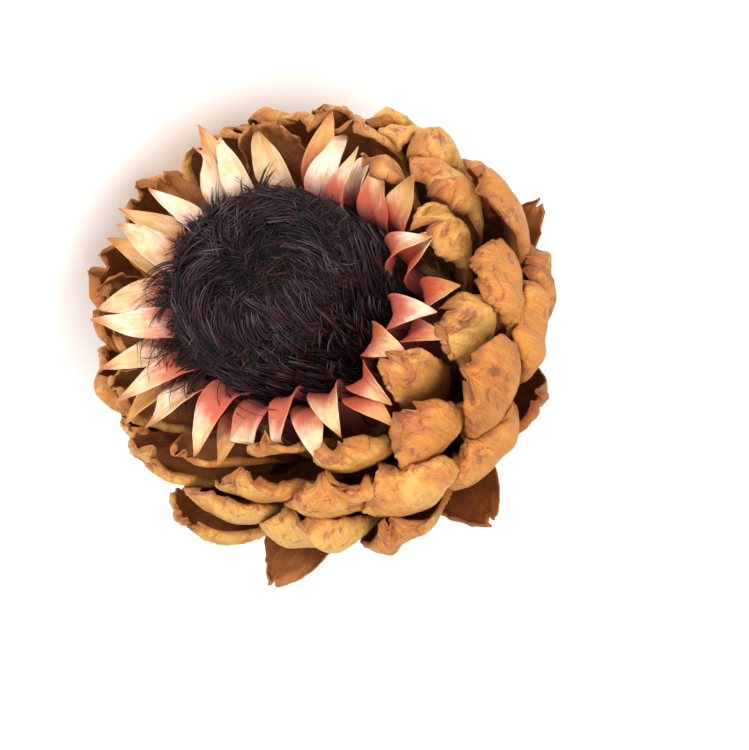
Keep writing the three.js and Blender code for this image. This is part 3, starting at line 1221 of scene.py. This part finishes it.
@dataclass
class OuterBracts:
    """The leathery outer bracts, one piece each."""

    family: BractFamily
    blades: list[Blade]
    fine_rows: int = 44
    fine_columns: int = 34
    blush_azimuth: float = math.radians(120)

    def build(self, table: Table, finish: OuterBractFinish) -> None:
        """Makes every bract.

        Args:
            table: Where the pieces go.
            finish: How they are finished.
        """
        material = finish.material()
        for blade in self.blades:
            number = blade.traits.index - self.family.inner_count + 1
            points, faces, traits = blade.shell(self.fine_rows, self.fine_columns)
            traits |= self._looks(blade.traits, len(points))
            name = f"outer_bract_{number:02d}"
            table.piece(f"{name}_blade", points, faces, traits, material, [name])

    def _looks(self, traits: Traits, count: int) -> dict[str, Array]:
        """How red and how aged one bract is.

        Args:
            traits: The bract.
            count: How many points it has.

        Returns:
            The point attributes.
        """
        facing = float(smoothstep(0.2 + math.cos(traits.azimuth - self.blush_azimuth)))
        blush = max(0.0, chance(traits.index, Trait.BLUSH) * 1.8 - 0.8) * facing
        outermost = float(smoothstep((traits.rank - 0.78) / 0.2))
        age = outermost * 0.8 + 0.5 * chance(traits.index, Trait.AGE) ** 2
        return {"blush": np.full(count, blush), "age": np.full(count, age)}


@dataclass
class InnerWhorls:
    """The papery inner bracts, grouped as the whorls that they grow in."""

    blades: list[Blade]
    counts: tuple[int, ...] = (13, 13, 8)
    fine_rows: int = 30
    fine_columns: int = 12
    # Where the painted shadow of the tuft makes the inner bracts reddest.
    shadow_red_azimuth: float = math.radians(95)

    def build(self, table: Table, finish: InnerBractFinish) -> None:
        """Makes every whorl.

        Args:
            table: Where the pieces go.
            finish: How they are finished.
        """
        material = finish.material()
        first = 0
        for number, count in enumerate(self.counts, start=1):
            group = self.blades[first : first + count]
            points, faces, traits = self._joined(group, number)
            name = f"inner_bract_whorl_{number}"
            table.piece(f"{name}_blades", points, faces, traits, material, [name])
            first += count

    def _joined(self, group: list[Blade], number: int) -> tuple[Array, Array, dict[str, Array]]:
        """Joins one whorl's blades into one mesh.

        Args:
            group: The blades.
            number: The whorl, counted from the innermost.

        Returns:
            Its vertices, faces and point attributes.
        """
        parts = []
        start = 0
        for blade in group:
            points, faces, traits = blade.shell(self.fine_rows, self.fine_columns)
            # One side of the flower is painted redder, as a painted shadow of the tuft, on top of each
            # bract's own random blush.
            red = smoothstep(0.5 + 0.62 * math.cos(blade.traits.azimuth - self.shadow_red_azimuth))
            blush = 0.15 + 0.7 * red + 0.6 * (chance(blade.traits.index, Trait.BLUSH) - 0.4)
            age = (number - 1) * 0.3 + 0.25 * chance(blade.traits.index, Trait.AGE)
            traits |= {"blush": np.full(len(points), blush), "age": np.full(len(points), age)}
            parts.append((points, faces + start, traits))
            start += len(points)
        points = np.concatenate([p[0] for p in parts])
        faces = np.concatenate([p[1] for p in parts])
        traits = {key: np.concatenate([p[2][key] for p in parts]) for key in parts[0][2]}
        return points, faces, traits


# -------------------------------------------------------------------------------------------------- the tuft


@dataclass
class Lay:
    """How one kind of strand is laid: lengths, radii and how many share a clump."""

    count: int
    lengths: tuple[float, float]
    radii: tuple[float, float]
    clump: int = 1


@dataclass
class FloretTuft:
    """Thousands of dried florets, combed up round the side in clumps and matted over the middle."""

    dome: tuple[tuple[float, float], ...] = (
        (28.6, 40.0),
        (28.4, 47.0),
        (27.6, 53.0),
        (26.5, 58.5),
        (25.5, 63.5),
        (24.0, 68.4),
        (21.4, 72.6),
        (18.0, 75.0),
        (14.4, 75.0),
        (10.0, 72.0),
        (5.2, 68.8),
        (0.0, 68.0),
    )
    combed: Lay = field(default_factory=lambda: Lay(8200, (6.5, 12.5), (0.19, 0.3), 4))
    matted: Lay = field(default_factory=lambda: Lay(3000, (4, 8), (0.13, 0.2), 4))
    spikes: Lay = field(default_factory=lambda: Lay(420, (6, 11), (0.15, 0.22), 14))
    strays: Lay = field(default_factory=lambda: Lay(130, (10, 21), (0.13, 0.2), 5))
    hairs: Lay = field(default_factory=lambda: Lay(1500, (2.5, 5.5), (0.05, 0.09), 1))
    strand_points: int = 7
    core_inset: float = 3.4
    core_sides: int = 64
    floor_height: float = 40.0
    seed: int = 11
    sky_azimuth: float = math.pi / 2
    spike_azimuth: float = math.radians(285)
    stray_azimuth: float = math.radians(325)

    def __post_init__(self) -> None:
        """Prepares the dome's outline and the random source."""
        self.random = np.random.default_rng(self.seed)
        self.outline = catmull_rom(np.array(self.dome), 200)
        steps = np.linalg.norm(np.diff(self.outline, axis=0), axis=1)
        self.reach = np.concatenate([[0], np.cumsum(steps)])

    def build(self, table: Table, core: FibreFinish, dark: FibreFinish, rusty: FibreFinish) -> None:
        """Makes the tuft.

        Args:
            table: Where the pieces go.
            core: The finish of what shows between the florets, near black as painted shade in the gaps.
            dark: The finish of the florets.
            rusty: The finish of the fine hairs between them.
        """
        material = dark.material()
        self._core(table, core.material())
        lines = self._combed()
        for side, part in zip(("a", "b"), np.array_split(lines, 2)):
            self._strands(table, f"floret_tuft_side_{side}", part, self.combed, material)
        self._strands(table, "floret_tuft_middle", self._matted(self.matted), self.matted, material)
        self._strands(table, "floret_tuft_spikes", self._spikes(), self.spikes, material)
        self._strands(table, "floret_tuft_strays", self._strays(), self.strays, material)
        self._strands(table, "floret_tuft_hairs", self._matted(self.hairs), self.hairs, rusty.material())

    def _core(self, table: Table, material: bpy.types.Material) -> None:
        """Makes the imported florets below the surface, as one closed dome.

        Args:
            table: Where the piece goes.
            material: Its material.
        """
        sides = self.core_sides
        rings = np.concatenate([[[0.0, self.floor_height]], catmull_rom(np.array(self.dome), 28)[:-1]])
        turn = np.linspace(0, 2 * math.pi, sides, endpoint=False)
        points = []
        for k, (r, z) in enumerate(rings):
            rough = 1 + 0.02 * np.sin(23 * turn + k) + 0.015 * np.sin(41 * turn - 2 * k)
            radius = max(0.0, r - self.core_inset) * rough
            height = np.full(sides, z - self.core_inset)
            points.append(np.stack([radius * np.cos(turn), radius * np.sin(turn), height], 1))
        grid = Crowding().moved(np.concatenate(points), 0.0)
        faces = tube_faces(len(rings), sides)
        faces.append(tuple(range(len(grid) - sides, len(grid))))
        traits = {"tint": np.zeros(len(grid)), "along": np.zeros(len(grid))}
        name = "floret_tuft_core"
        table.piece(name, grid, faces, traits, material, ["floret_tuft"])

    def _on_dome(self, s: Array, azimuth: Array, lift: Array) -> Array:
        """Finds points on or above the dome.

        Args:
            s: How far along the dome's outline they are, from its foot.
            azimuth: How far round it they are.
            lift: How far above it they are.

        Returns:
            The points.
        """
        before, here, after = (self._outline_at(s + step) for step in (-0.5, 0.0, 0.5))
        dr, dz = after[0] - before[0], after[1] - before[1]
        size = np.maximum(np.hypot(dr, dz), 1e-6)
        r = here[0] + lift * dz / size
        z = here[1] - lift * dr / size
        return np.stack([r * np.cos(azimuth), r * np.sin(azimuth), z], axis=-1)

    def _outline_at(self, s: Array) -> tuple[Array, Array]:
        """The dome's r and z at a distance along its outline."""
        r, z = self.outline.T
        return np.interp(s, self.reach, r), np.interp(s, self.reach, z)

    def _shared(self, lay: Lay, values: Any) -> Array:
        """One value a clump, given to each of its strands.

        Args:
            lay: The strands.
            values: Draws that many values.

        Returns:
            A column with a value for each strand.
        """
        clumps = values(lay.count // lay.clump + 1)
        return np.repeat(clumps, lay.clump)[: lay.count][:, None]

    def _steps(self) -> Array:
        """The places along a strand, as a row."""
        return np.linspace(0, 1, self.strand_points)[None, :]

    def _combed(self) -> Array:
        """Clumps that run up the side and over the shoulder, and droop away from the side that is up.

        Returns:
            The strands' middle lines.
        """
        rng, lay, t = self.random, self.combed, self._steps()
        one = (lay.count, 1)
        total = self.reach[-1]
        azimuth = self._shared(lay, lambda n: rng.uniform(0, 2 * math.pi, n))
        start = self._shared(lay, lambda n: rng.uniform(0.0, 0.66, n)) * total
        length = self._shared(lay, lambda n: rng.uniform(*lay.lengths, n)) * rng.uniform(0.85, 1.05, one)
        height = 0.7 - 4.2 * self._shared(lay, rng.random)
        sag = self._shared(lay, lambda n: rng.normal(0, 0.24, n))
        bow = self._shared(lay, lambda n: rng.normal(0.35, 0.3, n))
        droop = 0.85 * np.sin(azimuth - self.sky_azimuth) + sag
        heading = droop * (0.5 + 0.9 * t) + bow * (t - 0.3)
        step = length / (self.strand_points - 1)
        up = np.cumsum(np.cos(heading) * step, axis=1)
        s = np.clip(start + rng.normal(0, 0.7, one) + up, 0, total - 2.5)
        r = np.maximum(np.interp(s, self.reach, self.outline[:, 0]), 7)
        aside = np.cumsum(np.sin(heading) * step, axis=1) + rng.normal(0, 1, one) * (1.3 - 0.5 * t)
        lift = height + rng.normal(0, 0.25, one) - 1.0 * (1 - t) ** 3 + 1.1 * t**2
        return self._on_dome(s, azimuth + aside / r, lift)

    def _matted(self, lay: Lay) -> Array:
        """Short strands that lie every way over the middle of the dome.

        Args:
            lay: The strands.

        Returns:
            Their middle lines.
        """
        rng, t = self.random, self._steps()
        one = (lay.count, 1)
        azimuth = self._shared(lay, lambda n: rng.uniform(0, 2 * math.pi, n))
        start = (1 - 0.5 * self._shared(lay, rng.random) ** 0.8) * self.reach[-1]
        base = self._on_dome(start, azimuth, rng.uniform(-3.2, -1.3, one))[:, 0]
        base = base + rng.normal(0, 0.4, (lay.count, 3))
        heading = self._shared(lay, lambda n: rng.uniform(0, 2 * math.pi, n)) + rng.normal(0, 0.25, one)
        length = rng.uniform(*lay.lengths, one)
        way = heading + rng.normal(0, 0.7, one) * t
        tilt = rng.uniform(-0.05, 0.4, one) * (1 - 1.2 * t)
        flat = np.cumsum(np.stack([np.cos(way), np.sin(way), tilt], axis=-1), axis=1)
        return base[:, None, :] + flat * (length / self.strand_points)[..., None]

    def _spikes(self) -> Array:
        """Clumps that stand out past the rim on the lower side.

        Returns:
            The strands' middle lines.
        """
        rng, lay, t = self.random, self.spikes, self._steps()
        one = (lay.count, 1)
        azimuth = self.spike_azimuth + self._shared(lay, lambda n: rng.normal(0, 0.42, n))
        azimuth = azimuth + rng.normal(0, 0.03, one)
        height = self._shared(lay, lambda n: rng.uniform(58.5, 68, n)) + rng.normal(0, 0.6, one)
        rise = self._shared(lay, lambda n: rng.uniform(-0.25, 0.5, n)) + rng.normal(0, 0.08, one)
        length = rng.uniform(*lay.lengths, one)
        r = 24.0 + length * t
        z = height + length * (rise * t - 0.2 * t**2)
        turned = azimuth + self._shared(lay, lambda n: rng.normal(0, 0.14, n)) * t**2
        return np.stack([r * np.cos(turned), r * np.sin(turned), z], axis=-1)

    def _strays(self) -> Array:
        """Long strands that curve out over the inner bracts.

        Returns:
            The strands' middle lines.
        """
        rng, lay, t = self.random, self.strays, self._steps()
        one = (lay.count, 1)
        azimuth = self.stray_azimuth + self._shared(lay, lambda n: rng.normal(0, 0.42, n))
        azimuth = azimuth + rng.normal(0, 0.05, one)
        length = rng.uniform(*lay.lengths, one)
        rise = rng.uniform(-0.1, 0.4, one)
        r = 25.0 + length * t * (1 - 0.25 * t)
        z = 61.5 + length * (rise * t - (0.1 + 0.2 * rng.random(one)) * t**2)
        turned = azimuth + rng.normal(0.12, 0.22, one) * t**2
        return np.stack([r * np.cos(turned), r * np.sin(turned), z], axis=-1)

    def _strands(
        self,
        table: Table,
        name: str,
        lines: Array,
        lay: Lay,
        material: bpy.types.Material,
    ) -> None:
        """Gives middle lines a thin three-sided body.

        Args:
            table: Where the piece goes.
            name: Its name.
            lines: The middle lines.
            lay: How thick they are, and how many share a clump.
            material: Its material.
        """
        count, steps = lines.shape[:2]
        tangent = np.gradient(lines, axis=1)
        tangent /= np.maximum(np.linalg.norm(tangent, axis=2, keepdims=True), 1e-9)
        other = self.random.normal(size=(count, 1, 3))
        first = np.cross(tangent, other)
        first /= np.maximum(np.linalg.norm(first, axis=2, keepdims=True), 1e-9)
        second = np.cross(tangent, first)
        t = np.linspace(0, 1, steps)[None, :, None]
        radius = self.random.uniform(*lay.radii, (count, 1, 1)) * (1 - 0.8 * t**3)
        turns = [0, 2 * math.pi / 3, 4 * math.pi / 3]
        sides = [lines + radius * (math.cos(a) * first + math.sin(a) * second) for a in turns]
        points = Crowding().moved(np.stack(sides, axis=2).reshape(-1, 3), 0.0)
        shades = self._shared(replace(lay, count=count), self.random.random)[:, 0]
        shades = np.clip(0.6 * shades**1.5 + 0.4 * self.random.random(count) ** 1.5, 0, 1)
        tint = np.repeat(shades, steps * 3)
        along = np.tile(np.repeat(np.linspace(0, 1, steps), 3), count)
        traits = {"tint": tint, "along": along}
        table.piece(name, points, self._strand_faces(count, steps), traits, material)

    @staticmethod
    def _strand_faces(count: int, steps: int) -> Array:
        """The quads of three-sided strands.

        Args:
            count: How many strands there are.
            steps: How many rings each has.

        Returns:
            The quads.
        """
        places = (np.arange(count), np.arange(steps - 1), np.arange(3))
        strand, step, side = np.meshgrid(*places, indexing="ij")
        ring = (strand * steps + step) * 3
        a = (ring + side).ravel()
        b = (ring + (side + 1) % 3).ravel()
        return np.stack([a, b, b + 3, a + 3], axis=1)


# --------------------------------------------------------------------------------------- stem and receptacle


@dataclass
class Stem:
    """The cut stem: ribbed, bending a little, and wider where it joins the flower."""

    length: float = 100.0
    radius: float = 6.2
    neck_radius: float = 8.4
    ribs: int = 8
    rib_depth: float = 0.6
    bend: float = 7.0
    gap: float = 0.3
    sides: int = 96
    steps: int = 120
    cut_rings: tuple[tuple[float, float], ...] = (
        (0.93, 0.0),
        (0.8, 0.25),
        (0.55, 0.9),
        (0.3, 1.6),
        (0.02, 1.9),
    )

    def build(self, table: Table, finish: StemFinish) -> None:
        """Makes the stem, which sinks a little at its cut end.

        Args:
            table: Where the piece goes.
            finish: Its finish.
        """
        turn = np.linspace(0, 2 * math.pi, self.sides, endpoint=False)[None, :]
        down = np.linspace(0, 1, self.steps + 1)[:, None]
        wander = 0.35 * np.sin(9 * down + 1) + 0.25 * np.sin(23 * down)
        wave = np.cos(self.ribs * (turn + 0.06 * wander))
        ridge = 0.5 + 0.5 * np.sign(wave) * np.abs(wave) ** 0.8
        grow = 1 + (self.neck_radius / self.radius - 1) * (1 - smoothstep(down * 5))
        lump = 0.12 * np.sin(3 * turn + 11 * down) + 0.1 * np.sin(5 * turn - 17 * down)
        r = (self.radius - self.rib_depth * (1 - ridge) + lump) * grow
        z = -self.gap - down * (self.length - self.gap) + 0 * turn
        body = np.stack([r * np.cos(turn), r * np.sin(turn) - self.bend * down**2, z], axis=2)
        rings = [body.reshape(-1, 3)]
        ridges = [ridge.ravel()]
        for share, sink in self.cut_rings:
            end = body[-1].copy()
            centre = end.mean(0)
            end = centre + (end - centre) * share
            end[:, 2] += sink + 0.12 * np.sin(7 * turn[0]) * share
            rings.append(end)
            ridges.append(np.full(self.sides, 0.35 + 0.5 * share))
        points = np.concatenate(rings)
        rows = len(points) // self.sides
        faces = tube_faces(rows, self.sides, downward=True)
        around = np.tile(turn[0] * self.radius, rows)
        traits = {
            "blade_at": np.stack([around, points[:, 2], points[:, 0]], axis=1),
            "rim": np.concatenate(ridges),
        }
        table.piece("stem_body", points, faces, traits, finish.material(), ["stem"])


@dataclass
class Receptacle:
    """The dried base that everything grows on."""

    outline: tuple[tuple[float, float], ...] = (
        (0, 0),
        (9, 0),
        (18, 2.6),
        (27, 8),
        (32, 16),
        (33.8, 24),
        (32.6, 29),
        (30, 30),
        (0.5, 28),
    )
    sides: int = 96
    rings: int = 40

    def build(self, table: Table, finish: StemFinish) -> None:
        """Makes the receptacle.

        Args:
            table: Where the piece goes.
            finish: Its finish.
        """
        turn = np.linspace(0, 2 * math.pi, self.sides, endpoint=False)
        points = []
        for k, (r, z) in enumerate(catmull_rom(np.array(self.outline, float), self.rings)):
            lumps = 1 + 0.012 * np.sin(13 * turn + 0.9 * k) + 0.01 * np.sin(21 * turn - 0.7 * k)
            radius = abs(r) * lumps
            ring = [radius * np.cos(turn), radius * np.sin(turn), np.full(self.sides, z)]
            points.append(np.stack(ring, 1))
        grid = np.concatenate(points)
        faces = tube_faces(self.rings, self.sides)
        around = np.tile(turn * 30, self.rings)
        traits = {
            "blade_at": np.stack([around, grid[:, 2], grid[:, 0]], axis=1),
            "rim": np.full(len(grid), 0.8),
        }
        name, nodes = "receptacle_body", ["receptacle"]
        table.piece(name, grid, faces, traits, finish.material(), nodes)


# ------------------------------------------------------------------------------------------------ the studio


@dataclass
class Studio:
    """A plain pale floor, soft light and the camera."""

    pose: Pose
    matrix: Matrix
    view_off_axis_deg: float = 29.0
    roll_deg: float = 135.0
    lens: float = 100.0
    frame_width: float = 201.0
    head_centre: tuple[float, float, float] = (0.0, 0.0, 34.0)
    head_right: float = -11.8
    head_up: float = 13.0
    key_elevation_deg: float = 14.0
    key_distance: float = 1.3
    key_size: float = 0.32
    key_power: float = 11.0
    fill_place: tuple[float, float, float] = (-0.05, -0.15, 1.25)
    fill_size: float = 1.2
    fill_power: float = 17.0
    surround: float = 0.68
    floor_half: float = 6.0

    def build(self) -> None:
        """Makes the floor, the lights, the world and the camera."""
        self._floor()
        self._lights()
        self._camera()

    def _floor(self) -> None:
        """The floor that the flower lies on."""
        mesh = bpy.data.meshes.new("floor")
        half = self.floor_half
        corners = [(-half, -half, 0), (half, -half, 0), (half, half, 0), (-half, half, 0)]
        mesh.from_pydata(corners, [], [(0, 1, 2, 3)])
        mesh.materials.append(FloorFinish().material())
        floor = bpy.data.objects.new("floor", mesh)
        bpy.context.scene.collection.objects.link(floor)

    def _lamp(self, name: str, place: Vector, target: Vector, size: float, power: float) -> None:
        """One square area light.

        Args:
            name: Its name.
            place: Where it stands.
            target: What it points at.
            size: Its side.
            power: Its power in watts.
        """
        data = bpy.data.lights.new(name, "AREA")
        data.size = size
        data.energy = power
        lamp = bpy.data.objects.new(name, data)
        lamp.location = place
        lamp.rotation_euler = (target - place).to_track_quat("-Z", "Y").to_euler()
        bpy.context.scene.collection.objects.link(lamp)

    def _lights(self) -> None:
        """A low key light before the flower's face, a fill above and a bright surround."""
        centre = self.matrix @ Vector(self.head_centre)
        low = math.radians(self.key_elevation_deg)
        key = centre + self.key_distance * Vector((0.04, -math.cos(low), math.sin(low)))
        self._lamp("key_light", key, centre, self.key_size, self.key_power)
        fill = centre + Vector(self.fill_place)
        self._lamp("fill_light", fill, centre, self.fill_size, self.fill_power)
        world = bpy.data.worlds.new("surround")
        world.use_nodes = True
        world.node_tree.nodes["Background"].inputs["Color"].default_value = (1, 1, 1, 1)
        world.node_tree.nodes["Background"].inputs["Strength"].default_value = self.surround
        bpy.context.scene.world = world
        bpy.context.scene.view_settings.view_transform = "Standard"

    def _camera(self) -> None:
        """The camera, looking down on the face from off its axis."""
        height = math.radians(self.pose.lean_deg + self.view_off_axis_deg)
        back = Vector((0, -math.cos(height), math.sin(height)))
        level = Vector((1, 0, 0))
        rise = back.cross(level)
        roll = math.radians(self.roll_deg)
        right = level * math.cos(roll) + rise * math.sin(roll)
        up = back.cross(right)
        centre = self.matrix @ Vector(self.head_centre)
        aim = centre - right * self.head_right * MM - up * self.head_up * MM
        data = bpy.data.cameras.new("camera")
        data.lens = self.lens
        distance = self.frame_width * MM * self.lens / data.sensor_width
        camera = bpy.data.objects.new("camera", data)
        turning = Matrix((right, up, back)).transposed().to_4x4()
        camera.matrix_world = Matrix.Translation(aim + back * distance) @ turning
        bpy.context.scene.collection.objects.link(camera)
        bpy.context.scene.camera = camera


# --------------------------------------------------------------------------------------------------- the run


def main() -> None:
    """Builds the flower on its frame."""
    logging.basicConfig(level=logging.INFO, format="%(message)s")
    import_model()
    pose = Pose()
    table = Table(pose.matrix())
    family = BractFamily()
    count = family.inner_count + family.outer_count
    all_traits = [family.traits(k) for k in range(count)]
    blades = [Blade(t, family.bezier(t.rank)) for t in all_traits]
    Packing(blades).settle()
    LOG.info("settled %d bracts", count)

    OuterBracts(family, blades[family.inner_count :]).build(table, OuterBractFinish())
    InnerWhorls(blades[: family.inner_count]).build(table, InnerBractFinish())
    FloretTuft().build(
        table,
        # The core's near black is painted shade, for the deep gaps between the florets.
        FibreFinish("floret_core_painted_shade", "#050304", "#050304", "#050304", 0.85),
        FibreFinish("floret", "#0c0608", "#38191d", "#5e565b"),
        FibreFinish("floret_hair", "#451a18", "#7d3a2e", "#a86a54", 0.65),
    )
    Receptacle().build(table, StemFinish("receptacle", "#a8834e", "#84602f", "#5a3f22"))
    Stem().build(table, StemFinish("stem", "#b08d5a", "#8b6a3e", "#5d4428"))
    Studio(pose, table.matrix).build()


if __name__ == "__main__":
    main()
